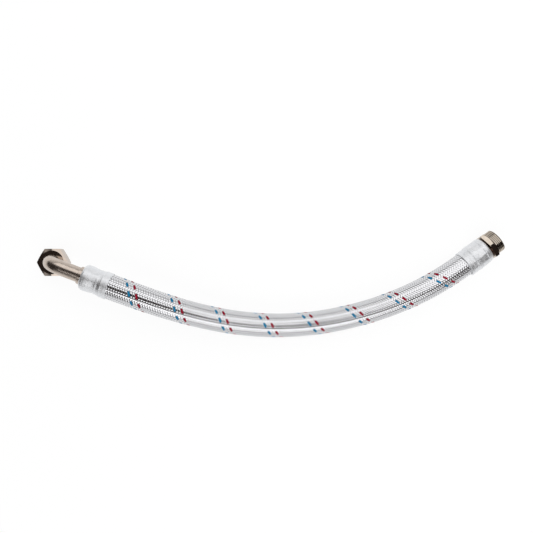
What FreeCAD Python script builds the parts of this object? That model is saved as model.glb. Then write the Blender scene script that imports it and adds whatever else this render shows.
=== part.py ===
import FreeCAD, Part
import math
import os

# A braided water hose, 1 inch size. One end is a bent tube with a loose union nut, the
# other a fixed threaded nipple. Millimetres and degrees, +Z up.
# The origin is the centre of the union nut's open mouth. The nut stands on its mouth.

V = FreeCAD.Vector

# Pipe thread, G1
thread_major_diameter = 33.249
thread_pitch = 25.4 / 11
thread_depth = 0.640327 * thread_pitch
thread_crest_share = 1 / 6

# Hose, from the inside out
liner_bore = 25.0
liner_wall = 3.2
braid_wall = 0.5
strand_thickness = 0.3

# Weave of the braid. The first float's turn is its angle from the top of the hose.
weave_pitch = 62.8
weave_carriers = 36
strand_gap = 0.25
strand_clearance = 0.04
tracer_strands_apart = 3
first_float_at = 3.9
first_float_turn = -5.0

# Crimped ferrules. Both have the same lip and the same bore.
ferrule_end_radius = 18.3
ferrule_lip_radius = 15.6
ferrule_lip_wall = 2.0
ferrule_lip_round = 1.0
ferrule_rim_round = 0.4
ferrule_clearance = 0.05

# Ferrule on the elbow: a shoulder, a waist, a crease and a last bulge
elbow_ferrule_length = 39.0
elbow_shoulder_radius = 18.1
elbow_shoulder_round = 2.2
elbow_waist_radius = 17.1
elbow_waist_at = 20.0
elbow_waist_round = 15.0
elbow_crease_radius = 16.95
elbow_crease_at = 25.0
elbow_crease_width = 2.2
elbow_crease_round = 0.4
elbow_crimp_radius = 18.5
elbow_crimp_width = 5.0
elbow_crimp_round = 6.0

# Ferrule on the nipple: nearly a barrel, with a shallow waist
nipple_ferrule_length = 37.0
nipple_shoulder_radius = 18.2
nipple_shoulder_round = 2.6
nipple_barrel_radius = 18.5
nipple_waist_radius = 18.05
nipple_waist_at = 18.0
nipple_barrel_round = 14.0
nipple_rim_radius = 18.95
nipple_rim_width = 2.5

# Barbed tail that the ferrule grips the hose on
tail_length = 36.0
tail_bore = 20.0
tail_neck_radius = 12.3
barb_count = 5
barb_depth = 0.8
barb_land = 0.8
tail_end_plain = 3.0

# Bent tube
tube_diameter = 21.0
tube_wall = 1.5
bend_radius = 22.0
exit_azimuth = -21.0
elbow_reach = 54.2
flange_radius = 14.0
flange_thickness = 2.0
flange_round = 0.5

# Collar that joins the bent tube to its tail
collar_length = 5.5
collar_radius = 12.4
collar_round = 0.8
socket_depth = 5.0
braze_gap = 0.05

# Corners of both hexagons, and how far a cutting body reaches past what it cuts
chamfer_slope = math.tan(math.radians(30))
cut_past = 1.0

# Union nut
nut_across_flats = 38.0
nut_height = 18.0
nut_back_wall = 3.0
nut_tube_clearance = 0.5
nut_mouth_land = 0.8
nut_thread_ridges = 4
nut_relief_depth = 0.2
nut_back_land_radius = 16.6
nut_mouth_land_radius = 18.7

# Flat washer in the nut
gasket_thickness = 2.0
gasket_bore = 21.0
gasket_nut_clearance = 0.15
gasket_flange_gap = 0.3

# Threaded nipple
nipple_across_flats = 35.0
nipple_hex_thickness = 6.6
nipple_hex_turn = -8.0
nipple_neck = 1.6
nipple_neck_radius = 14.6
nipple_thread_ridges = 5
nipple_thread_runout = 1.0
nipple_end_chamfer = 1.0
nipple_hex_land_radius = 16.9

# Route of the hose. Its first run lies on the axis of the bent tube's exit, and its last
# run on the nipple's. Between them each point is x, y and the hose's height off the floor.
first_bend_from_nut = 120.0
route_middle = [
    (185.0, -68.2, 17.0),
    (256.0, -84.8, 7.0),
    (327.0, -89.5, 0.0),
    (399.0, -81.2, 0.0),
    (475.0, -59.5, 0.3),
]
route_last_run = [(550.0, -22.7), (603.4, 18.1)]
route_arc_share = 0.45

# Worked out from the sizes above
liner_radius = liner_bore / 2 + liner_wall
braid_radius = liner_radius + braid_wall
hose_radius = braid_radius + strand_thickness
tube_radius = tube_diameter / 2
thread_major_radius = thread_major_diameter / 2
thread_minor_radius = thread_major_radius - thread_depth
thread_crest = thread_pitch * thread_crest_share
exit_height = nut_height + bend_radius
nipple_corner_radius = nipple_across_flats / 2 / math.cos(math.radians(30))
nipple_height = nipple_corner_radius * math.cos(math.radians(nipple_hex_turn))
exit_direction = V(math.cos(math.radians(exit_azimuth)), math.sin(math.radians(exit_azimuth)), 0)
hose_end_inset = ferrule_lip_wall + ferrule_clearance


def corner_arc(before, corner, after, radius):
    """Start, middle and end of the arc that rounds a corner, tangent to both its sides."""
    back = (before - corner).normalize()
    ahead = (after - corner).normalize()
    half = back.getAngle(ahead) / 2
    reach = radius / math.tan(half)
    middle = (back + ahead).normalize() * (radius / math.sin(half) - radius)
    return corner + back * reach, corner + middle, corner + ahead * reach


def rounded_wire(points, radii, closed):
    """Straight lines through the points, with an arc at each point whose radius isn't 0."""
    count = len(points)
    stops = []
    for i, point in enumerate(points):
        if radii[i]:
            stops.append(corner_arc(points[i - 1], point, points[(i + 1) % count], radii[i]))
        else:
            stops.append((point,))
    edges = []
    for i, stop in enumerate(stops):
        if len(stop) == 3:
            edges.append(Part.Arc(*stop).toShape())
        last = i == count - 1
        if last and not closed:
            break
        follower = stops[0] if last else stops[i + 1]
        if stop[-1].distanceToPoint(follower[0]) > 1e-6:
            edges.append(Part.LineSegment(stop[-1], follower[0]).toShape())
    return Part.Wire(edges)


def turned(outline):
    """Solid of revolution about Z from (along, radius) or (along, radius, rounding) points."""
    points = [V(entry[1], 0, entry[0]) for entry in outline]
    radii = [entry[2] if len(entry) > 2 else 0 for entry in outline]
    face = Part.Face(rounded_wire(points, radii, True))
    return face.revolve(V(0, 0, 0), V(0, 0, 1), 360)


def ring(inner, outer, low, high):
    """Plain ring about Z."""
    return turned([(low, inner), (low, outer), (high, outer), (high, inner)])


def placed(shape, origin, along, top=V(0, 0, 1)):
    """The shape moved so that its origin is at a point, its Z along a line and its X at the top."""
    across = along.cross(top).normalize()
    up = across.cross(along).normalize()
    place = FreeCAD.Placement(origin, FreeCAD.Rotation(up, across, along, "ZXY"))
    result = shape.copy()
    result.Placement = place.multiply(shape.Placement)
    return result


def thread_outline(first_crest, ridges, crest_radius, root_radius):
    """(along, radius) points of thread ridges, each one a crest flat between two slopes."""
    slope = (thread_pitch - 2 * thread_crest) / 2
    outline = []
    for ridge in range(ridges):
        low = first_crest + ridge * thread_pitch
        if ridge:
            outline.append((low - slope, root_radius))
        outline.append((low, crest_radius))
        outline.append((low + thread_crest, crest_radius))
        if ridge < ridges - 1:
            outline.append((low + thread_crest + slope, root_radius))
    return outline


def thread_length(ridges):
    """Length from the first crest's near edge to the last crest's far edge."""
    return (ridges - 1) * thread_pitch + thread_crest


def hexagon(across_flats, low, high, corner_angle):
    """Hexagonal prism about Z with a corner at the given angle from X."""
    radius = across_flats / 2 / math.cos(math.radians(30))
    corners = []
    for side in range(7):
        angle = math.radians(corner_angle + 60 * side)
        corners.append(V(radius * math.cos(angle), radius * math.sin(angle), low))
    return Part.Face(Part.makePolygon(corners)).extrude(V(0, 0, high - low))


def hexagon_limit(across_flats, low, high, low_land, high_land):
    """Turned body that takes the corners off a hexagon at both ends, at 30 degrees."""
    outer = across_flats / 2 / math.cos(math.radians(30)) + cut_past
    low_cut = (outer - low_land) * chamfer_slope
    high_cut = (outer - high_land) * chamfer_slope
    return turned([(low, 0), (low, low_land), (low + low_cut, outer),
                   (high - high_cut, outer), (high, high_land), (high, 0)])


def route_points():
    """Points of the hose's route, from inside one ferrule to inside the other."""
    nut_axis = V(0, 0, exit_height)
    start = nut_axis + exit_direction * (elbow_reach + hose_end_inset)
    first_bend = nut_axis + exit_direction * first_bend_from_nut
    middle = [V(x, y, hose_radius + lift) for x, y, lift in route_middle]
    last_run = [V(x, y, nipple_height) for x, y in route_last_run]
    return [start, first_bend] + middle + last_run


def route_radii(points):
    """Radius of the arc at each point, as large as its two runs allow."""
    radii = [0]
    for before, point, after in zip(points, points[1:], points[2:]):
        turn = (point - before).getAngle(after - point)
        run = min(point.distanceToPoint(before), after.distanceToPoint(point))
        radii.append(route_arc_share * run / math.tan(turn / 2))
    return radii + [0]


def hose_layer(path, inner, outer):
    """One layer of the hose: a tube of constant wall along the route."""
    start = path.OrderedVertexes[0].Point
    rods = []
    for radius in (outer, inner):
        circle = Part.Wire(Part.Circle(start, exit_direction, radius).toShape())
        rods.append(path.makePipeShell([circle], True, False))
    return rods[0].cut(rods[1]).Solids[0]


def route_frame(path, distance):
    """Point and direction on the route at a distance from its start."""
    for edge in path.OrderedEdges:
        if distance <= edge.Length:
            at = edge.getParameterByLength(distance)
            if edge.Orientation == "Reversed":
                at = edge.getParameterByLength(edge.Length - distance)
            return edge.valueAt(at), edge.tangentAt(at)
        distance -= edge.Length
    return None


def strand_float():
    """The stretch of one strand that shows on top of the weave, at +X on a hose along Z."""
    column = 360 / weave_carriers * 2
    lead = weave_pitch / 360
    width_along = weave_pitch / (weave_carriers / 2) - strand_gap
    half_angle = column / 2
    corners = []
    for angle, edge in ((-half_angle, -1), (half_angle, -1), (half_angle, 1), (-half_angle, 1)):
        along = angle * lead + edge * width_along / 2
        sideways = hose_radius * math.sin(math.radians(angle))
        corners.append(V(0, sideways, along))
    patch = Part.Face(Part.makePolygon(corners + corners[:1])).extrude(V(hose_radius * 2, 0, 0))
    layer = ring(braid_radius + strand_clearance, hose_radius, -weave_pitch, weave_pitch)
    return patch.common(layer).Solids[0]


def tracer(path, first_at):
    """Every float of one coloured strand, between the two ferrules."""
    step_angle = 360 / (weave_carriers / 4)
    step_along = weave_pitch * step_angle / 360
    spare = weave_pitch / weave_carriers - hose_end_inset
    first_shown = elbow_ferrule_length + spare
    last_shown = path.Length - nipple_ferrule_length - spare
    patch = strand_float()
    floats = []
    distance = first_at
    turn = first_float_turn
    while distance < last_shown:
        if distance > first_shown:
            point, along = route_frame(path, distance)
            piece = patch.copy()
            piece.rotate(V(0, 0, 0), V(0, 0, 1), turn)
            floats.append(placed(piece, point, along))
        distance += step_along
        turn += step_angle
    return Part.makeCompound(floats)


def ferrule(length, shoulder_radius, shoulder_round, body):
    """Crimped sleeve. Its lip is at 0 and the hose enters at minus its length."""
    bore = hose_radius + ferrule_clearance
    lip_bore = tail_neck_radius + ferrule_clearance
    shoulder_at = shoulder_radius - ferrule_lip_radius
    return turned([
        (0, lip_bore),
        (0, ferrule_lip_radius, ferrule_lip_round),
        (-shoulder_at, shoulder_radius, shoulder_round),
    ] + body + [
        (-length, ferrule_end_radius, ferrule_rim_round),
        (-length, bore),
        (-ferrule_lip_wall, bore),
        (-ferrule_lip_wall, lip_bore),
    ])


def elbow_ferrule():
    """Ferrule with a waist, a sharp crease and a bulge towards the hose."""
    near = elbow_crease_at - elbow_crease_width / 2
    far = elbow_crease_at + elbow_crease_width / 2
    crimp_at = (far + elbow_ferrule_length - elbow_crimp_width) / 2
    return ferrule(elbow_ferrule_length, elbow_shoulder_radius, elbow_shoulder_round, [
        (-elbow_waist_at / 2, elbow_shoulder_radius, elbow_waist_round),
        (-elbow_waist_at, elbow_waist_radius, elbow_waist_round),
        (-near, elbow_waist_radius, elbow_crease_round),
        (-elbow_crease_at, elbow_crease_radius, elbow_crease_round),
        (-far, elbow_waist_radius + elbow_crease_width / 6, elbow_crease_round),
        (-crimp_at, elbow_crimp_radius, elbow_crimp_round),
        (-crimp_at - elbow_crimp_width, elbow_crimp_radius, elbow_crimp_round),
    ])


def nipple_ferrule():
    """Ferrule like a barrel, with a shallow waist and a rim that flares over the hose."""
    rim_at = nipple_ferrule_length - nipple_rim_width
    return ferrule(nipple_ferrule_length, nipple_shoulder_radius, nipple_shoulder_round, [
        (-nipple_waist_at / 2, nipple_barrel_radius, nipple_barrel_round),
        (-nipple_waist_at, nipple_waist_radius, nipple_barrel_round),
        (-(nipple_waist_at + rim_at) / 2, nipple_barrel_radius, nipple_barrel_round),
        (-rim_at, nipple_barrel_radius, nipple_rim_width / 2),
        (-nipple_ferrule_length + ferrule_rim_round, nipple_rim_radius, ferrule_rim_round),
    ])


def barb_outline(hose_side_end):
    """(along, radius) points of the barbs, from the hose side towards the ferrule's lip."""
    barb_radius = liner_bore / 2
    root_radius = barb_radius - barb_depth
    spacing = (tail_length - tail_end_plain - hose_end_inset) / barb_count
    outline = [(hose_side_end, root_radius - barb_depth / 2)]
    for barb in range(barb_count):
        low = hose_side_end + tail_end_plain + barb * spacing
        outline.append((low, root_radius))
        outline.append((low + spacing - barb_land, barb_radius))
        outline.append((low + spacing, barb_radius))
    return outline


def tail_outline():
    """Outside of the tail from its end in the hose to the ferrule's lip at 0."""
    barbs = barb_outline(-tail_length)
    end_at = barbs[-1][0]
    return barbs + [(end_at, tail_neck_radius)]


def elbow_stem():
    """Collar on the bent tube and its barbed tail. The ferrule's lip is at 0."""
    bore = tail_bore / 2
    socket = tube_radius + braze_gap
    outline = tail_outline() + [
        (0, tail_neck_radius),
        (0, collar_radius),
        (collar_length, collar_radius, collar_round),
        (collar_length, socket),
        (collar_length - socket_depth, socket),
        (collar_length - socket_depth, bore),
        (-tail_length, bore),
    ]
    return turned(outline)


def male_nipple():
    """Fixed hexagon, outside thread and barbed tail. The ferrule's lip is at 0."""
    bore = tail_bore / 2
    hex_low = nipple_neck
    hex_high = hex_low + nipple_hex_thickness
    first_crest = hex_high + nipple_thread_runout
    last_crest = first_crest + thread_length(nipple_thread_ridges)
    end = last_crest + nipple_end_chamfer
    thread = thread_outline(first_crest, nipple_thread_ridges, thread_major_radius, thread_minor_radius)
    body = turned(tail_outline() + [
        (0, tail_neck_radius),
        (0, nipple_neck_radius),
        (hex_low, nipple_neck_radius),
        (hex_low, thread_minor_radius),
        (first_crest - nipple_thread_runout / 2, thread_minor_radius),
    ] + thread + [
        (end, thread_major_radius - nipple_end_chamfer),
        (end, bore),
        (-tail_length, bore),
    ])
    land = nipple_hex_land_radius
    flats = hexagon(nipple_across_flats, hex_low, hex_high, nipple_hex_turn).common(
        hexagon_limit(nipple_across_flats, hex_low, hex_high, land, land))
    flats = flats.cut(Part.makeCylinder(tail_neck_radius, hex_high))
    return body.fuse(flats).removeSplitter().Solids[0]


def union_nut():
    """Loose nut: hexagon with 30 degree corners, thread, relief and a back wall round the tube."""
    tube_bore = tube_radius + nut_tube_clearance
    relief = thread_major_radius + nut_relief_depth
    thread_end = nut_mouth_land + thread_length(nut_thread_ridges)
    thread = thread_outline(nut_mouth_land, nut_thread_ridges, thread_minor_radius, thread_major_radius)
    hollow = turned([
        (-cut_past, 0),
        (-cut_past, thread_minor_radius + nut_mouth_land + cut_past),
        (0, thread_minor_radius + nut_mouth_land),
    ] + thread + [
        (thread_end, relief),
        (nut_height - nut_back_wall, relief),
        (nut_height - nut_back_wall, tube_bore),
        (nut_height + cut_past, tube_bore),
        (nut_height + cut_past, 0),
    ])
    outside = hexagon(nut_across_flats, 0, nut_height, 0).common(
        hexagon_limit(nut_across_flats, 0, nut_height, nut_mouth_land_radius, nut_back_land_radius))
    return outside.cut(hollow).Solids[0]


def nut_gasket():
    """Flat washer that goes in through the nut's thread and lies behind its last ridge."""
    low = nut_mouth_land + thread_length(nut_thread_ridges)
    return ring(gasket_bore / 2, thread_minor_radius - gasket_nut_clearance, low, low + gasket_thickness)


def elbow_tube():
    """Tube with a flange at its foot, a right-angle bend and a straight end in the collar."""
    foot = nut_mouth_land + thread_length(nut_thread_ridges) + gasket_thickness + gasket_flange_gap
    bore = tube_radius - tube_wall
    flange_top = foot + flange_thickness
    leg = turned([
        (foot, bore),
        (foot, flange_radius, flange_round),
        (flange_top, flange_radius, flange_round),
        (flange_top, tube_radius),
        (nut_height, tube_radius),
        (nut_height, bore),
    ])
    section = ring_face(bore, tube_radius, nut_height)
    centre = exit_direction * bend_radius + V(0, 0, nut_height)
    bend = section.revolve(centre, V(0, 0, 1).cross(exit_direction), 90)
    straight_length = elbow_reach - collar_length + socket_depth - bend_radius
    start = exit_direction * bend_radius + V(0, 0, exit_height)
    straight = placed(ring(bore, tube_radius, 0, straight_length), start, exit_direction)
    return leg.fuse([bend, straight]).removeSplitter().Solids[0]


def ring_face(inner, outer, height):
    """Flat ring about Z at a height."""
    rings = [Part.Wire(Part.Circle(V(0, 0, height), V(0, 0, 1), radius).toShape())
             for radius in (outer, inner)]
    return Part.Face(rings)


def check_volume(name, solid, inner, outer, length):
    """Compare a hose layer's volume with its section times its length."""
    expected = math.pi * (outer ** 2 - inner ** 2) * length
    print(f"{name}: volume {solid.Volume:.0f}, section times length {expected:.0f}")


points = route_points()
radii = route_radii(points)
path = rounded_wire(points, radii, False)
print("route length", round(path.Length, 1), "arc radii", [round(radius) for radius in radii[1:-1]])

elbow_lip = V(0, 0, exit_height) + exit_direction * elbow_reach
nipple_direction = (points[-1] - points[-2]).normalize()
nipple_lip = points[-1] + nipple_direction * hose_end_inset

tracer_shift = tracer_strands_apart * weave_pitch / (weave_carriers / 2)
nodes = {
    "rubber_liner": hose_layer(path, liner_bore / 2, liner_radius),
    "wire_braid": hose_layer(path, liner_radius, braid_radius),
    "blue_tracer": tracer(path, first_float_at),
    "red_tracer": tracer(path, first_float_at + tracer_shift),
    "elbow_ferrule": placed(elbow_ferrule(), elbow_lip, exit_direction * -1),
    "nipple_ferrule": placed(nipple_ferrule(), nipple_lip, nipple_direction),
    "elbow_stem": placed(elbow_stem(), elbow_lip, exit_direction * -1),
    "elbow_tube": elbow_tube(),
    "union_nut": union_nut(),
    "nut_gasket": nut_gasket(),
    "male_nipple": placed(male_nipple(), nipple_lip, nipple_direction),
}

check_volume("rubber_liner", nodes["rubber_liner"], liner_bore / 2, liner_radius, path.Length)
check_volume("wire_braid", nodes["wire_braid"], liner_radius, braid_radius, path.Length)
print("nipple lip", nipple_lip, "direction", nipple_direction)

os.makedirs("parts", exist_ok=True)
for name, shape in nodes.items():
    if not shape.isValid():
        print("not a valid shape:", name)
    shape.exportStep(f"parts/{name}.step")
    print(name, len(shape.Solids), "solid", round(shape.Volume, 1))
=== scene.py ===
import bpy
import bmesh
import math
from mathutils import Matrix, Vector


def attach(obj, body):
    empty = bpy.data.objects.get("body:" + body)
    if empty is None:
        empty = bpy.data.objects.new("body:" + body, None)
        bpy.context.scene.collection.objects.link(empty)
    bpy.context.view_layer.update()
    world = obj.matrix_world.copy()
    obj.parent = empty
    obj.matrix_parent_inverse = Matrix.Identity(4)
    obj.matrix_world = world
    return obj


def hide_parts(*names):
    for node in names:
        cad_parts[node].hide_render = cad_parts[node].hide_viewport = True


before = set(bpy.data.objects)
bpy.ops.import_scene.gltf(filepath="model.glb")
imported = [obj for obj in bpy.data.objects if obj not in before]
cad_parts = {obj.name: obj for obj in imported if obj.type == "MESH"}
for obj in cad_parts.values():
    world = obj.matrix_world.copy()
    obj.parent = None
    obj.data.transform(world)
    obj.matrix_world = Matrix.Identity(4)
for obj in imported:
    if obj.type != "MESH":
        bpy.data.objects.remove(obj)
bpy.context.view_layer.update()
print("frame loaded")

scene = bpy.context.scene
scene.view_settings.view_transform = "Standard"


# small helpers

def toLinear(hexColour):
    channels = [int(hexColour[i:i + 2], 16) / 255 for i in (1, 3, 5)]
    return [c / 12.92 if c <= 0.04045 else ((c + 0.055) / 1.055) ** 2.4 for c in channels] + [1.0]


def addNode(tree, kind, settings=None, inputs=None):
    # one node with its settings, and each input either a plain value or a socket to link
    node = tree.nodes.new(kind)
    for name, value in (settings or {}).items():
        setattr(node, name, value)
    for name, value in (inputs or {}).items():
        if isinstance(value, bpy.types.NodeSocket):
            tree.links.new(value, node.inputs[name])
        else:
            node.inputs[name].default_value = value
    return node


def newObject(name, data):
    obj = bpy.data.objects.new(name, data)
    scene.collection.objects.link(obj)
    return obj


# camera: straight above the hose, looking down on the surface that it lies on

cameraSetup = {"place": (0.3000, -0.0058, 0.870), "lens": 41.2, "sensor": 36.0, "nearest": 0.01}


def makeCamera():
    data = bpy.data.cameras.new("camera")
    data.lens = cameraSetup["lens"]
    data.sensor_width = cameraSetup["sensor"]
    data.clip_start = cameraSetup["nearest"]
    obj = newObject("camera", data)
    obj.location = cameraSetup["place"]
    scene.camera = obj


makeCamera()

# the hose: its route, and the sizes of its layers in metres

hose = {
    "route": [
        (0.05251, -0.02016, 0.0400),
        (0.11203, -0.04300, 0.0400),
        (0.18500, -0.06820, 0.0335),
        (0.25600, -0.08480, 0.0235),
        (0.32700, -0.08950, 0.0165),
        (0.39900, -0.08120, 0.0165),
        (0.47500, -0.05950, 0.0168),
        (0.55000, -0.02270, 0.0200),
        (0.60340, 0.01810, 0.0200),
    ],
    "swellAtPoints": [1, 1, 0.5, 0, 0, 0, 0, 0, 0],     # shares of the braid's swelling
    "stepsPerPoint": 24,
    "outerDiameter": 0.0330,
    "linerRadius": 0.01565,
    "linerRoundness": 8,
}

# where the fittings' sleeves grip the hose's two ends: the lip's middle, and the way out

hoseEnds = {
    "elbow": {"lip": (0.050600, -0.019424, 0.0400), "towardsEnd": (-0.933580, 0.358368, 0)},
    "nipple": {"lip": (0.605029, 0.019345, 0.020011), "towardsEnd": (0.794611, 0.607119, 0)},
}

braid = {
    "strandsPerHand": 18,
    "pitch": 0.0628,        # one turn of a strand
    "firstFloat": 0.0039,   # where the blue strand first comes over the top
    "floatTurn": -5.0,      # how far round from the top that is, in degrees
    "radius": 0.01609,      # middle of the weave
    "lift": 0.00028,        # over and under the middle
    "strandWidth": 0.00260,
    "strandThickness": 0.00036,
    "edgeHeight": 0.20,     # heights of the strand's section, as shares of its thickness
    "crown": 0.24,
    "wireRidge": 0.11,
    "underEdge": 0.40,
    "underMiddle": 0.50,
    "underWidth": 0.42,     # half the flat underside, as a share of the width
    "wires": 6,
    "floatRounding": 0.85,  # 0 would be a step from over to under, 1 is a full wave
    "shownFrom": 0.032,     # the strands start and end a little inside the ferrules
    "hiddenAtEnd": 0.030,
    "samplesPerFloat": 8,
    "swelling": 0.06,       # the hose swells a little beside the elbow ferrule
    "swellingEnds": 0.19,   # metres along the route
}


def makeRoute(name):
    data = bpy.data.curves.new(name, "CURVE")
    data.dimensions = "3D"
    spline = data.splines.new("NURBS")
    spline.points.add(len(hose["route"]) - 1)
    for point, place, swell in zip(spline.points, hose["route"], hose["swellAtPoints"]):
        point.co = (*place, 1)
        point.radius = 1 + swell * braid["swelling"]
    spline.order_u = 3
    spline.use_endpoint_u = True
    spline.resolution_u = hose["stepsPerPoint"]
    return newObject(name, data)


def makeLiner(material):
    liner = makeRoute("linerTube")
    liner.data.bevel_depth = hose["linerRadius"]
    liner.data.bevel_resolution = hose["linerRoundness"]
    liner.data.use_fill_caps = True
    liner.data.materials.append(material)
    return liner


# materials

def newMaterial(name):
    material = bpy.data.materials.new(name)
    material.use_nodes = True
    return material, material.node_tree, material.node_tree.nodes["Principled BSDF"]


def makeWireSteel():
    # drawn stainless wire: bright, with a finely uneven tone
    material, tree, shader = newMaterial("drawnStainlessWire")
    place = addNode(tree, "ShaderNodeTexCoord").outputs["Object"]
    noise = addNode(tree, "ShaderNodeTexNoise", {}, {"Vector": place, "Scale": 900.0, "Detail": 2.0})
    tone = addNode(tree, "ShaderNodeValToRGB", {}, {"Fac": noise.outputs["Fac"]})
    tone.color_ramp.elements[0].color = toLinear("#c9cacd")
    tone.color_ramp.elements[1].color = toLinear("#eeeef0")
    tree.links.new(tone.outputs["Color"], shader.inputs["Base Color"])
    shader.inputs["Metallic"].default_value = 1.0
    shader.inputs["Roughness"].default_value = 0.16
    return material


def makeStrandEnamel(name, shade):
    # enamelled marker strand: a deep, slightly uneven colour with hardly any gloss
    material, tree, shader = newMaterial(name)
    place = addNode(tree, "ShaderNodeTexCoord").outputs["Object"]
    noise = addNode(tree, "ShaderNodeTexNoise", {}, {"Vector": place, "Scale": 700.0, "Detail": 2.0})
    tone = addNode(tree, "ShaderNodeMix", {"data_type": "RGBA"}, {
        0: noise.outputs["Fac"], 6: toLinear(shade[0]), 7: toLinear(shade[1])})
    tree.links.new(tone.outputs[2], shader.inputs["Base Color"])
    shader.inputs["Roughness"].default_value = 0.45
    shader.inputs["Specular IOR Level"].default_value = 0.12
    return material


def makeRubber(name, shade):
    # moulded EPDM rubber: dull and nearly black
    material, tree, shader = newMaterial(name)
    place = addNode(tree, "ShaderNodeTexCoord").outputs["Object"]
    noise = addNode(tree, "ShaderNodeTexNoise", {}, {"Vector": place, "Scale": 400.0, "Detail": 3.0})
    bump = addNode(tree, "ShaderNodeBump", {}, {
        "Strength": 0.2, "Distance": 0.0002, "Height": noise.outputs["Fac"]})
    tree.links.new(bump.outputs["Normal"], shader.inputs["Normal"])
    shader.inputs["Base Color"].default_value = toLinear(shade)
    shader.inputs["Roughness"].default_value = 0.7
    return material


unevenness = {
    "detail": 4.0, "darkBelow": 0.3, "lightAbove": 0.7,
    "roughness": 0.15, "bump": 0.12,        # shares of the metal's roughness
    "bumpHeight": 0.0001,
}


def makeMetal(name, shades, roughness, grain):
    # metal with a slightly mottled tone and an uneven polish, less so the smoother it is;
    # grain is the size of the unevenness in mm
    material, tree, shader = newMaterial(name)
    place = addNode(tree, "ShaderNodeTexCoord").outputs["Object"]
    noise = addNode(tree, "ShaderNodeTexNoise", {}, {
        "Vector": place, "Scale": 1000 / grain, "Detail": unevenness["detail"]})
    tone = addNode(tree, "ShaderNodeValToRGB", {}, {"Fac": noise.outputs["Fac"]})
    tone.color_ramp.elements[0].position = unevenness["darkBelow"]
    tone.color_ramp.elements[1].position = unevenness["lightAbove"]
    tone.color_ramp.elements[0].color = toLinear(shades[0])
    tone.color_ramp.elements[1].color = toLinear(shades[1])
    spread = addNode(tree, "ShaderNodeMapRange", {}, {
        "Value": noise.outputs["Fac"], "To Min": roughness * (1 - unevenness["roughness"]),
        "To Max": roughness * (1 + unevenness["roughness"])})
    bump = addNode(tree, "ShaderNodeBump", {}, {
        "Strength": roughness * unevenness["bump"], "Distance": unevenness["bumpHeight"],
        "Height": noise.outputs["Fac"]})
    tree.links.new(tone.outputs["Color"], shader.inputs["Base Color"])
    tree.links.new(spread.outputs["Result"], shader.inputs["Roughness"])
    tree.links.new(bump.outputs["Normal"], shader.inputs["Normal"])
    shader.inputs["Metallic"].default_value = 1.0
    return material


# painted shade: the dark brown that the nipple's base colour takes in its thread grooves and its neck
paintedGrooveShade = {"shade": "#54423a", "bottom": 0.0152, "top": 0.0164}      # radii from the nipple's axis


def makeNippleMetal(shades):
    # polished plate with painted shade: the base colour turns dark brown in the thread's grooves and in
    # the neck, where shade falls
    material = makeMetal("nickelNippleWithPaintedShade", shades, 0.08, 4.0)
    tree = material.node_tree
    shader = tree.nodes["Principled BSDF"]
    polished = shader.inputs["Base Color"].links[0].from_socket
    place = addNode(tree, "ShaderNodeTexCoord").outputs["Object"]
    away = addNode(tree, "ShaderNodeVectorMath", {"operation": "SUBTRACT"}, {
        0: place, 1: hoseEnds["nipple"]["lip"]})
    aside = addNode(tree, "ShaderNodeVectorMath", {"operation": "CROSS_PRODUCT"}, {
        0: away.outputs["Vector"], 1: hoseEnds["nipple"]["towardsEnd"]})
    radius = addNode(tree, "ShaderNodeVectorMath", {"operation": "LENGTH"}, {0: aside.outputs["Vector"]})
    # painted shade: below the crests' radius the colour runs to the dark groove shade
    height = addNode(tree, "ShaderNodeMapRange", {}, {
        "Value": radius.outputs["Value"], "From Min": paintedGrooveShade["bottom"], "From Max": paintedGrooveShade["top"]})
    tone = addNode(tree, "ShaderNodeMix", {"data_type": "RGBA"}, {
        0: height.outputs["Result"], 6: toLinear(paintedGrooveShade["shade"]), 7: polished})
    tree.links.new(tone.outputs[2], shader.inputs["Base Color"])
    return material


materials = {
    "wire": makeWireSteel(),
    "blue": makeStrandEnamel("blueStrandEnamel", ("#0a6a94", "#1588b8")),
    "red": makeStrandEnamel("redStrandEnamel", ("#870022", "#a3062c")),
    "liner": makeRubber("linerRubber", "#3a3637"),
    "gasket": makeRubber("gasketRubber", "#232326"),
    "ferrule": makeMetal("satinAluminium", ("#e4e6e9", "#f1f2f4"), 0.50, 6.0),
    "tube": makeMetal("satinNickelPlate", ("#bbaea3", "#c9bdb3"), 0.26, 5.0),
    "nut": makeMetal("polishedNickelNut", ("#b8aba0", "#c0b3a8"), 0.10, 4.0),
    "nipple": makeNippleMetal(("#b6ab9e", "#c6bbae")),
}
print("materials made")


# braid: one tree lays strands along the route, each a flat bundle of wires that goes
# over two strands of the other hand and under the next two

def makeStrandProfile():
    wires, width, thick = braid["wires"], braid["strandWidth"], braid["strandThickness"]
    steps = wires * 2
    points = []
    for i in range(steps + 1):
        across = (i / steps - 0.5) * width
        crown = braid["crown"] * thick * (1 - (2 * across / width) ** 2)
        ridge = braid["wireRidge"] * thick if i % 2 else 0
        points.append((braid["edgeHeight"] * thick + crown + ridge, across))
    underEdge, underSide = -thick * braid["underEdge"], width * braid["underWidth"]
    points += [(underEdge, underSide), (-thick * braid["underMiddle"], 0), (underEdge, -underSide)]
    data = bpy.data.curves.new("strandProfile", "CURVE")
    data.dimensions = "3D"
    spline = data.splines.new("POLY")
    spline.points.add(len(points) - 1)
    for point, (height, across) in zip(spline.points, points):
        point.co = (height, across, 0, 1)
    spline.use_cyclic_u = True
    return newObject("strandProfile", data)


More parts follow.
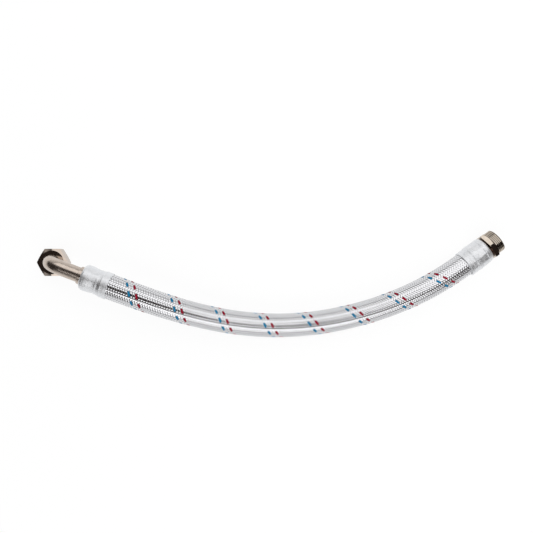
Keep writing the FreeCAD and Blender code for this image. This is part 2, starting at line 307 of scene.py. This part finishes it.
def buildBraidTree():
    tree = bpy.data.node_groups.new("braidStrands", "GeometryNodeTree")
    sockets = [
        ("Route", "NodeSocketObject"), ("Profile", "NodeSocketObject"),
        ("Material", "NodeSocketMaterial"), ("Strands", "NodeSocketInt"),
        ("First Strand", "NodeSocketInt"), ("Samples", "NodeSocketInt"),
        ("Strand Angle", "NodeSocketFloat"), ("Phase", "NodeSocketFloat"),
        ("Turn Rate", "NodeSocketFloat"), ("First Float", "NodeSocketFloat"),
        ("Over Sign", "NodeSocketFloat"), ("Radius", "NodeSocketFloat"),
        ("Lift", "NodeSocketFloat"), ("Start", "NodeSocketFloat"), ("End", "NodeSocketFloat"),
        ("Floats Per Turn", "NodeSocketFloat"), ("Float Turn", "NodeSocketFloat"),
        ("Float Rounding", "NodeSocketFloat"), ("Swelling", "NodeSocketFloat"),
        ("Swelling Ends", "NodeSocketFloat"),
    ]
    for name, kind in sockets:
        tree.interface.new_socket(name, in_out="INPUT", socket_type=kind)
    tree.interface.new_socket("Geometry", in_out="OUTPUT", socket_type="NodeSocketGeometry")
    given = tree.nodes.new("NodeGroupInput").outputs

    def calculate(operation, *values):
        node = addNode(tree, "ShaderNodeMath", {"operation": operation}, dict(enumerate(values)))
        return node.outputs[0]

    def combine(operation, *values):
        node = addNode(tree, "ShaderNodeVectorMath", {"operation": operation}, dict(enumerate(values)))
        return node.outputs["Vector"]

    route = addNode(tree, "GeometryNodeObjectInfo", {}, {"Object": given["Route"]})
    profile = addNode(tree, "GeometryNodeObjectInfo", {}, {"Object": given["Profile"]})

    line = addNode(tree, "GeometryNodeCurvePrimitiveLine", {}, {"End": (1, 0, 0)}).outputs["Curve"]
    line = addNode(tree, "GeometryNodeResampleCurve", {}, {"Curve": line, "Count": given["Samples"]})
    copies = addNode(tree, "GeometryNodeDuplicateElements", {"domain": "SPLINE"}, {
        "Geometry": line.outputs["Curve"], "Amount": given["Strands"]})

    # where along the route, and how far round it
    factor = addNode(tree, "GeometryNodeSplineParameter").outputs["Factor"]
    distance = addNode(tree, "ShaderNodeMapRange", {}, {
        "Value": factor, "To Min": given["Start"], "To Max": given["End"]}).outputs["Result"]
    number = calculate("ADD", copies.outputs["Duplicate Index"], given["First Strand"])
    strandTurn = calculate("MULTIPLY_ADD", number, given["Strand Angle"], given["Phase"])
    travelled = calculate("SUBTRACT", distance, given["First Float"])
    turn = calculate("MULTIPLY_ADD", travelled, given["Turn Rate"], strandTurn)

    # over or under, from the angle alone, so that the floats stand in columns
    fromColumn = calculate("SUBTRACT", turn, given["Float Turn"])
    wave = calculate("COSINE", calculate("MULTIPLY", fromColumn, given["Floats Per Turn"]))
    wave = addNode(tree, "ShaderNodeMapRange", {"interpolation_type": "SMOOTHSTEP"}, {
        "Value": wave, "From Min": calculate("MULTIPLY", given["Float Rounding"], -1.0),
        "From Max": given["Float Rounding"], "To Min": -1.0, "To Max": 1.0}).outputs["Result"]
    height = calculate("MULTIPLY", calculate("MULTIPLY", wave, given["Over Sign"]), given["Lift"])
    height = calculate("ADD", height, given["Radius"])
    swell = addNode(tree, "ShaderNodeMapRange", {"interpolation_type": "SMOOTHSTEP"}, {
        "Value": distance, "From Min": given["Start"], "From Max": given["Swelling Ends"],
        "To Min": given["Swelling"], "To Max": 0.0}).outputs["Result"]
    height = calculate("MULTIPLY_ADD", height, swell, height)

    # a frame that stays upright along the route
    onRoute = addNode(tree, "GeometryNodeSampleCurve", {"mode": "LENGTH"}, {
        "Curves": route.outputs["Geometry"], "Length": distance})
    across = combine("NORMALIZE", combine("CROSS_PRODUCT", onRoute.outputs["Tangent"], (0, 0, 1)))
    up = combine("CROSS_PRODUCT", across, onRoute.outputs["Tangent"])
    outward = combine("ADD",
                      addNode(tree, "ShaderNodeVectorMath", {"operation": "SCALE"}, {
                          0: up, "Scale": calculate("COSINE", turn)}).outputs[0],
                      addNode(tree, "ShaderNodeVectorMath", {"operation": "SCALE"}, {
                          0: across, "Scale": calculate("SINE", turn)}).outputs[0])
    place = combine("ADD", onRoute.outputs["Position"],
                    addNode(tree, "ShaderNodeVectorMath", {"operation": "SCALE"}, {
                        0: outward, "Scale": height}).outputs[0])

    strands = addNode(tree, "GeometryNodeSetCurveNormal", {"mode": "FREE"}, {
        "Curve": copies.outputs["Geometry"], "Normal": outward}).outputs["Curve"]
    strands = addNode(tree, "GeometryNodeSetPosition", {}, {"Geometry": strands, "Position": place})
    grown = calculate("ADD", swell, 1.0)
    mesh = addNode(tree, "GeometryNodeCurveToMesh", {}, {
        "Curve": strands.outputs["Geometry"], "Profile Curve": profile.outputs["Geometry"],
        "Fill Caps": True, "Scale": grown}).outputs["Mesh"]
    mesh = addNode(tree, "GeometryNodeSetShadeSmooth", {}, {"Geometry": mesh}).outputs["Geometry"]
    mesh = addNode(tree, "GeometryNodeRealizeInstances", {}, {"Geometry": mesh}).outputs["Geometry"]
    mesh = addNode(tree, "GeometryNodeSetMaterial", {}, {
        "Geometry": mesh, "Material": given["Material"]})
    out = tree.nodes.new("NodeGroupOutput")
    tree.links.new(mesh.outputs["Geometry"], out.inputs["Geometry"])
    return tree


def runTree(name, tree, values):
    # the tree's result as a plain mesh object
    host = newObject(name, bpy.data.meshes.new(name + "Host"))
    modifier = host.modifiers.new("nodes", "NODES")
    modifier.node_group = tree
    for socket in tree.interface.items_tree:
        if socket.in_out == "INPUT" and socket.name in values:
            modifier[socket.identifier] = values[socket.name]
    evaluated = host.evaluated_get(bpy.context.evaluated_depsgraph_get())
    mesh = bpy.data.meshes.new_from_object(evaluated)
    host.modifiers.remove(modifier)
    host.data = mesh
    mesh.name = name
    return host


def makeBraid(route):
    tree = buildBraidTree()
    profile = makeStrandProfile()
    length = route.data.splines[0].calc_length()
    turns = length / braid["pitch"]
    floatTurn = math.radians(braid["floatTurn"])
    halfStep = math.pi / braid["strandsPerHand"]
    shared = {
        "Route": route, "Profile": profile,
        "Samples": int(turns * braid["strandsPerHand"] / 2 * braid["samplesPerFloat"]),
        "Strand Angle": 2 * math.pi / braid["strandsPerHand"],
        "First Float": braid["firstFloat"], "Radius": braid["radius"], "Lift": braid["lift"],
        "Floats Per Turn": braid["strandsPerHand"] / 2, "Float Turn": floatTurn,
        "Float Rounding": braid["floatRounding"],
        "Start": braid["shownFrom"], "End": length - braid["hiddenAtEnd"],
        "Swelling": braid["swelling"], "Swelling Ends": braid["swellingEnds"],
    }
    turnRate = 2 * math.pi / braid["pitch"]
    rightHand = {"Turn Rate": turnRate, "Phase": floatTurn, "Over Sign": 1.0}
    leftHand = {"Turn Rate": -turnRate, "Phase": floatTurn + halfStep, "Over Sign": -1.0}
    groups = [      # name, hand, first strand, how many, material
        ("blueStrand", rightHand, 0, 1, "blue"),
        ("redStrand", rightHand, 15, 1, "red"),
        ("rightHandStrandsA", rightHand, 1, 7, "wire"),
        ("rightHandStrandsB", rightHand, 8, 7, "wire"),
        ("rightHandStrandsC", rightHand, 16, 2, "wire"),
        ("leftHandStrandsA", leftHand, 0, 9, "wire"),
        ("leftHandStrandsB", leftHand, 9, 9, "wire"),
    ]
    pieces = {}
    for name, hand, first, count, material in groups:
        values = dict(shared, **hand)
        values.update({"First Strand": first, "Strands": count, "Material": materials[material]})
        pieces[name] = runTree(name, tree, values)
        print(name, len(pieces[name].data.polygons), "faces")
    bpy.data.objects.remove(profile)
    return pieces


liner = makeLiner(materials["liner"])
routeLine = makeRoute("routeLine")
strands = makeBraid(routeLine)
bpy.data.objects.remove(routeLine)
print("braid made")


# turned pieces: rows of (place along the piece, radius, shaper), with the lip at 0 and the
# hose's side below it; a shaper gives the radius at a place and an angle, in the row's stead

sharpEdge = 24.0        # edges that turn by more degrees than this stay sharp


def makeTurned(name, piece, rows, material):
    end = hoseEnds[piece["at"]]
    lip, along = Vector(end["lip"]), Vector(end["towardsEnd"]).normalized()
    up = Vector((0, 0, 1))
    across = along.cross(up).normalized()
    columns = piece["columns"]
    angles = [math.radians(piece["firstAngle"]) + 2 * math.pi * i / columns for i in range(columns)]
    points = []
    for place, radius, shaper in rows:
        for angle in angles:
            r = shaper(place, angle, radius) if shaper else radius
            points.append(lip + along * place + (up * math.cos(angle) + across * math.sin(angle)) * r)
    faces = []
    for j in range(len(rows)):
        here, there = j * columns, (j + 1) % len(rows) * columns
        for i in range(columns):
            k = (i + 1) % columns
            faces.append((here + i, here + k, there + k, there + i))
    mesh = bpy.data.meshes.new(name)
    mesh.from_pydata(points, [], faces)
    shell = bmesh.new()
    shell.from_mesh(mesh)
    bmesh.ops.recalc_face_normals(shell, faces=shell.faces)
    shell.to_mesh(mesh)
    shell.free()
    mesh.shade_smooth()
    mesh.set_sharp_from_angle(angle=math.radians(sharpEdge))
    mesh.materials.append(material)
    return newObject(name, mesh)


def easedRows(outline, step, shaper):
    # rows between the outline's points, eased so that one slope runs into the next
    rows = []
    for (place, radius), (nextPlace, nextRadius) in zip(outline, outline[1:]):
        count = max(1, round(abs(nextPlace - place) / step))
        for i in range(count):
            t = i / count
            eased = t * t * (3 - 2 * t)
            rows.append((place + (nextPlace - place) * t,
                         radius + (nextRadius - radius) * eased, shaper))
    rows.append((*outline[-1], shaper))
    return rows


def evenRows(first, last, count, shaper):
    # rows at even steps, whose radius the shaper alone decides
    return [(first + (last - first) * i / count, 0.0, shaper) for i in range(count + 1)]


# crimped ferrules: the jaws of the press leave rows of flats round them

elbowFerrule = {
    "at": "elbow", "columns": 96, "firstAngle": 0.0, "rowStep": 0.0005,
    "outline": [        # place and radius
        (-0.0390, 0.01805), (-0.0386, 0.01835), (-0.0345, 0.01850), (-0.0300, 0.01845),
        (-0.0263, 0.01735), (-0.0254, 0.01711), (-0.0247, 0.01711), (-0.0238, 0.01722),
        (-0.0195, 0.01722), (-0.0120, 0.01790), (-0.0070, 0.01815), (-0.0035, 0.01800),
        (-0.0018, 0.01735), (-0.0005, 0.01630), (0.0, 0.01530),
    ],
    "bore": 0.01655, "lipBore": 0.01235, "lipWall": 0.0020, "jaws": 12,
    "crimps": [(-0.0170, 0.0055, 0.55), (-0.0325, 0.0030, 0.25)],   # middle, half width, how deep
    "crimpEdge": 0.0012,
}

nippleFerrule = {
    "at": "nipple", "columns": 96, "firstAngle": 7.5, "rowStep": 0.0005,
    "outline": [
        (-0.0370, 0.01850), (-0.0367, 0.01880), (-0.0355, 0.01870), (-0.0340, 0.01850),
        (-0.0290, 0.01868), (-0.0200, 0.01905), (-0.0140, 0.01900), (-0.0080, 0.01865),
        (-0.0035, 0.01805), (-0.0014, 0.01725), (-0.0004, 0.01620), (0.0, 0.01530),
    ],
    "bore": 0.01655, "lipBore": 0.01235, "lipWall": 0.0020, "jaws": 12,
    "crimps": [(-0.0135, 0.0062, 0.75), (-0.0290, 0.0045, 0.50)],
    "crimpEdge": 0.0012,
}


def makeFerrule(name, piece, material):
    def crimped(place, angle, radius):
        jaw = 2 * math.pi / piece["jaws"]
        fromMiddle = (angle - math.radians(piece["firstAngle"])) % jaw - jaw / 2
        flat = 1 - math.cos(jaw / 2) / math.cos(fromMiddle)
        for middle, halfWidth, depth in piece["crimps"]:
            inside = min(1.0, max(0.0, (halfWidth - abs(place - middle)) / piece["crimpEdge"]))
            radius *= 1 - flat * depth * inside
        return radius

    rows = easedRows(piece["outline"], piece["rowStep"], crimped)
    inner = -piece["lipWall"]
    rows += [(0.0, piece["lipBore"], None), (inner, piece["lipBore"], None),
             (inner, piece["bore"], None), (rows[0][0], piece["bore"], None)]
    return makeTurned(name, piece, rows, material)


# nipple: barbed tail, neck, hexagon and a thread that climbs as a real one does

nipple = {
    "at": "nipple", "columns": 120, "firstAngle": -8.0,      # a corner of the hexagon stands here
    "bore": 0.0100, "tailEnd": -0.0360, "tailPlain": 0.0030,
    "barbs": 5, "barbRadius": 0.0123, "barbDepth": 0.0008, "barbRise": 0.85,
    "neck": 0.0016, "neckRadius": 0.0146,
    "hexTop": 0.0082, "acrossFlats": 0.0350, "backLand": 0.0200, "frontLand": 0.0180,
    "chamfer": 60.0, "hexRows": 22,     # the chamfer in degrees from the axis
    "end": 0.01982, "endChamfer": 0.0010, "majorRadius": 0.01662, "threadDepth": 0.00130,
    "threadPitch": 0.002309, "crest": 0.00138, "root": 0.00026, "threadRowStep": 0.00006,
    "threadStarts": 0.0004, "startSlope": 2.0,      # the thread grows out of the hexagon's face
    "undercut": 0.0001,
}


def makeNipple(name, material):
    half = nipple["acrossFlats"] / 2
    chamfer = math.tan(math.radians(nipple["chamfer"]))
    minorRadius = nipple["majorRadius"] - nipple["threadDepth"]
    flank = (nipple["threadPitch"] - nipple["crest"] - nipple["root"]) / 2
    sixth = math.radians(60)

    def hexagon(place, angle, radius):
        fromFlat = (angle - math.radians(nipple["firstAngle"])) % sixth - sixth / 2
        back = nipple["backLand"] + (place - nipple["neck"]) * chamfer
        front = nipple["frontLand"] + (nipple["hexTop"] - place) * chamfer
        return min(half / math.cos(fromFlat), back, front)

    def thread(place, angle, radius):
        turns = place / nipple["threadPitch"] - angle / (2 * math.pi)
        fromCrest = abs(turns % 1 - 0.5) * nipple["threadPitch"]
        height = min(1.0, max(0.0, 1 - (fromCrest - nipple["crest"] / 2) / flank))
        started = max(0.0, place - nipple["hexTop"] - nipple["threadStarts"])
        chamfered = max(0.0, place - nipple["end"] + nipple["endChamfer"])
        outside = min(minorRadius + height * nipple["threadDepth"],
                      minorRadius + started * nipple["startSlope"],
                      nipple["majorRadius"] - chamfered)
        return max(outside, minorRadius - nipple["undercut"])

    rows = [(nipple["tailEnd"], nipple["barbRadius"] - 2 * nipple["barbDepth"], None)]
    barb = (-nipple["tailEnd"] - 2 * nipple["tailPlain"]) / nipple["barbs"]
    for i in range(nipple["barbs"]):
        low = nipple["tailEnd"] + nipple["tailPlain"] + i * barb
        rows += [(low, nipple["barbRadius"] - nipple["barbDepth"], None),
                 (low + barb * nipple["barbRise"], nipple["barbRadius"], None),
                 (low + barb, nipple["barbRadius"], None)]
    rows += [(0.0, nipple["barbRadius"], None), (0.0, nipple["neckRadius"], None),
             (nipple["neck"], nipple["neckRadius"], None)]
    rows += evenRows(nipple["neck"], nipple["hexTop"], nipple["hexRows"], hexagon)
    threadRows = round((nipple["end"] - nipple["hexTop"]) / nipple["threadRowStep"])
    rows += evenRows(nipple["hexTop"], nipple["end"], threadRows, thread)
    rows += [(nipple["end"], nipple["bore"], None), (nipple["tailEnd"], nipple["bore"], None)]
    return makeTurned(name, nipple, rows, material)


turnedPieces = {
    "elbow_ferrule": (
        makeFerrule("elbowFerrule", elbowFerrule, materials["ferrule"]), "ferrule_metal"),
    "nipple_ferrule": (
        makeFerrule("nippleFerrule", nippleFerrule, materials["ferrule"]), "ferrule_metal"),
    "male_nipple": (makeNipple("maleNipple", materials["nipple"]), "nickel_nipple"),
}
print("turned pieces made")

# finishes of the pieces that are shown as they are built

finishes = {"elbow_stem": "tube", "elbow_tube": "tube", "union_nut": "nut", "nut_gasket": "gasket"}
for node, finish in finishes.items():
    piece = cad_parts[node]
    for materialSlot in piece.material_slots:
        materialSlot.material = materials[finish]
print("solid pieces finished")

# how the pieces belong to the model

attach(liner, "hose")
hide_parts("rubber_liner")
for node, (piece, slot) in turnedPieces.items():
    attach(piece, "hose")
    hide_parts(node)
for name, piece in strands.items():
    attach(piece, "hose")
    if name == "blueStrand":
        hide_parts("blue_tracer")
    elif name == "redStrand":
        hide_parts("red_tracer")
    else:
        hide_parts("wire_braid")

# studio: a white table in a room with two white walls and a dark ceiling, two soft boxes overhead
# and a small weak one between them; the dark gap between the two boxes draws the dark streak along
# everything that shines, and the small one lightens it on the nipple

studio = {
    "tableSize": 6.0, "tablePlace": (0.3, 0, -0.0002), "tableColour": "#f4f4f4",
    "tableGlow": 1.03, "tableInMetal": 0.88,
    "farBox": {"place": (0.448, 1.435, 1.35), "size": (3.4, 2.2), "turn": -33.8, "watts": 30.5},
    "nearBox": {"place": (0.322, -1.813, 1.35), "size": (2.45, 2.2), "turn": -14.0, "watts": 26.0},
    "bridge": {"place": (0.66, -0.22, 1.36), "size": (0.36, 0.56), "turn": -30.0, "watts": 0.42},
    "roomLight": 0.30,          # how bright the room is to dull surfaces
    "wallsInMetal": 0.75,       # and how bright its walls are in shiny ones
    "ceiling": "#38302e", "wallTop": 12.0, "ceilingFrom": 30.0,    # degrees above the table
    "endWalls": (0.62, 0.86),   # the walls darken towards the two ends of the room
}


def addShownTo(tree, light, cameraShare, metalShare, otherwise):
    # one value for camera rays, one for reflections and glass, and one for everything else
    shiny = addNode(tree, "ShaderNodeMath", {"operation": "MAXIMUM"}, {
        0: light.outputs["Is Glossy Ray"], 1: light.outputs["Is Transmission Ray"]}).outputs[0]
    share = addNode(tree, "ShaderNodeMix", {"data_type": "FLOAT"}, {
        0: shiny, 2: otherwise, 3: metalShare}).outputs[0]
    return addNode(tree, "ShaderNodeMix", {"data_type": "FLOAT"}, {
        0: light.outputs["Is Camera Ray"], 2: share, 3: cameraShare}).outputs[0]


def makeTable():
    mesh = bpy.data.meshes.new("table")
    half = studio["tableSize"] / 2
    corners = [(-half, -half, 0), (half, -half, 0), (half, half, 0), (-half, half, 0)]
    mesh.from_pydata(corners, [], [(0, 1, 2, 3)])
    table = newObject("table", mesh)
    table.location = studio["tablePlace"]
    material, tree, shader = newMaterial("whiteTable")
    shader.inputs["Base Color"].default_value = toLinear(studio["tableColour"])
    shader.inputs["Roughness"].default_value = 0.9
    light = addNode(tree, "ShaderNodeLightPath")
    seen = addShownTo(tree, light, studio["tableInMetal"], studio["tableInMetal"], 0.0)
    white = addNode(tree, "ShaderNodeEmission", {}, {
        "Color": (1, 1, 1, 1), "Strength": studio["tableGlow"]})
    mix = addNode(tree, "ShaderNodeMixShader", {}, {0: seen, 1: shader.outputs[0], 2: white.outputs[0]})
    tree.links.new(mix.outputs[0], tree.nodes["Material Output"].inputs["Surface"])
    mesh.materials.append(material)


def makeSoftBox(name):
    box = studio[name]
    data = bpy.data.lights.new(name, "AREA")
    data.shape = "RECTANGLE"
    data.size, data.size_y = box["size"]
    data.energy = box["watts"]
    lamp = newObject(name, data)
    lamp.location = box["place"]
    lamp.rotation_euler = (0, 0, math.radians(box["turn"]))
    lamp.visible_camera = False


def makeRoom():
    world = bpy.data.worlds.new("room")
    world.use_nodes = True
    scene.world = world
    tree = world.node_tree
    light = addNode(tree, "ShaderNodeLightPath")
    direction = addNode(tree, "ShaderNodeTexCoord").outputs["Generated"]
    parts = addNode(tree, "ShaderNodeSeparateXYZ", {}, {"Vector": direction}).outputs
    upwards = addNode(tree, "ShaderNodeMapRange", {"interpolation_type": "SMOOTHSTEP"}, {
        "Value": parts["Z"], "From Min": math.sin(math.radians(studio["wallTop"])),
        "From Max": math.sin(math.radians(studio["ceilingFrom"]))}).outputs["Result"]
    sideways = addNode(tree, "ShaderNodeMath", {"operation": "ABSOLUTE"}, {0: parts["X"]}).outputs[0]
    sideways = addNode(tree, "ShaderNodeMapRange", {"interpolation_type": "SMOOTHSTEP"}, {
        "Value": sideways, "From Min": studio["endWalls"][0],
        "From Max": studio["endWalls"][1]}).outputs["Result"]
    shade = addNode(tree, "ShaderNodeMath", {"operation": "MAXIMUM"}, {0: upwards, 1: sideways})
    reflected = addShownTo(tree, light, 0.0, 1.0, 0.0)
    shade = addNode(tree, "ShaderNodeMath", {"operation": "MULTIPLY"}, {
        0: shade.outputs[0], 1: reflected}).outputs[0]
    colour = addNode(tree, "ShaderNodeMix", {"data_type": "RGBA"}, {
        0: shade, 6: (1, 1, 1, 1), 7: toLinear(studio["ceiling"])})
    strength = addShownTo(tree, light, 1.0, studio["wallsInMetal"], studio["roomLight"])
    background = tree.nodes["Background"]
    tree.links.new(colour.outputs[2], background.inputs["Color"])
    tree.links.new(strength, background.inputs["Strength"])


makeTable()
for boxName in ("farBox", "nearBox", "bridge"):
    makeSoftBox(boxName)
makeRoom()
print("studio made")
